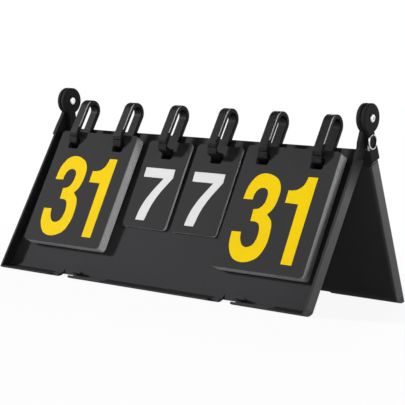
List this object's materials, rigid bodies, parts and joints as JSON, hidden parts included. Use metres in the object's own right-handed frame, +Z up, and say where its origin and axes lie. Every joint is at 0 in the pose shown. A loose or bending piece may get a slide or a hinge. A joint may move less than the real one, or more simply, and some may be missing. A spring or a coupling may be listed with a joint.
{
  "type": "tabletop flip scoreboard",
  "caption": "A-frame flip scoreboard: two hinged plastic tray halves, hanging packs of large and small number cards on plastic loops, folding face to face into a flat case.",
  "frame": {"origin": "on the table, below the middle of the hinge axis, at the middle of the object's base", "axes": "+X along the width, to the right of someone reading the numbers; -Y towards that reader; +Z up"},
  "size_m": [0.3987, 0.182, 0.1965],
  "materials": {
    "tray_plastic": "fine-grained satin black moulded plastic",
    "loop_plastic": "smooth semi-gloss black moulded plastic",
    "card_plastic": "printed satin sheet plastic, black faces with white and yellow numbers, pale cut edges",
    "rivet_steel": "bright plated steel",
    "washer_nylon": "plain dark nylon",
    "ring_steel": "bright plated steel wire"
  },
  "bodies": {
    "front_half": {"front_tray": "tray_plastic", "left_hinge_rivet": "rivet_steel", "right_hinge_rivet": "rivet_steel", "left_hinge_washer": "washer_nylon", "right_hinge_washer": "washer_nylon", "loop_1": "loop_plastic", "loop_2": "loop_plastic", "loop_3": "loop_plastic", "loop_4": "loop_plastic", "loop_5": "loop_plastic", "loop_6": "loop_plastic", "loop_foot_1": "loop_plastic", "loop_foot_2": "loop_plastic", "loop_foot_3": "loop_plastic", "loop_foot_4": "loop_plastic", "loop_foot_5": "loop_plastic", "loop_foot_6": "loop_plastic", "left_score_pack": "card_plastic", "right_score_pack": "card_plastic", "left_set_pack": "card_plastic", "right_set_pack": "card_plastic"},
    "rear_half": {"rear_tray": "tray_plastic", "tether_eye": "ring_steel"},
    "ring": {"tether_ring": "ring_steel"},
    "left_score_card": {"left_score_top_card": "card_plastic"},
    "right_score_card": {"right_score_top_card": "card_plastic"},
    "left_set_card": {"left_set_top_card": "card_plastic"},
    "right_set_card": {"right_set_top_card": "card_plastic"}
  },
  "joints": [
    {"name": "tray_hinge", "type": "hinge", "parent": "front_half", "child": "rear_half", "pos_m": [0, 0, 0.1823], "axis": [-1, 0, 0], "range_deg": [-306.4, 0]},
    {"name": "left_score_card_lift", "type": "hinge", "parent": "front_half", "child": "left_score_card", "pos_m": [-0.1254, -0.02013, 0.14882], "axis": [-1, 0, 0], "range_deg": [0, 16]},
    {"name": "left_set_card_lift", "type": "hinge", "parent": "front_half", "child": "left_set_card", "pos_m": [-0.032, -0.01305, 0.14555], "axis": [-1, 0, 0], "range_deg": [0, 38]},
    {"name": "right_set_card_lift", "type": "hinge", "parent": "front_half", "child": "right_set_card", "pos_m": [0.032, -0.01305, 0.14555], "axis": [-1, 0, 0], "range_deg": [0, 38]},
    {"name": "right_score_card_lift", "type": "hinge", "parent": "front_half", "child": "right_score_card", "pos_m": [0.1254, -0.02013, 0.14882], "axis": [-1, 0, 0], "range_deg": [0, 16]},
    {"name": "ring_swing", "type": "hinge", "parent": "rear_half", "child": "ring", "pos_m": [0.1982, 0.00294, 0.16687], "axis": [0, -1, 0], "range_deg": [0, 80]}
  ]
}
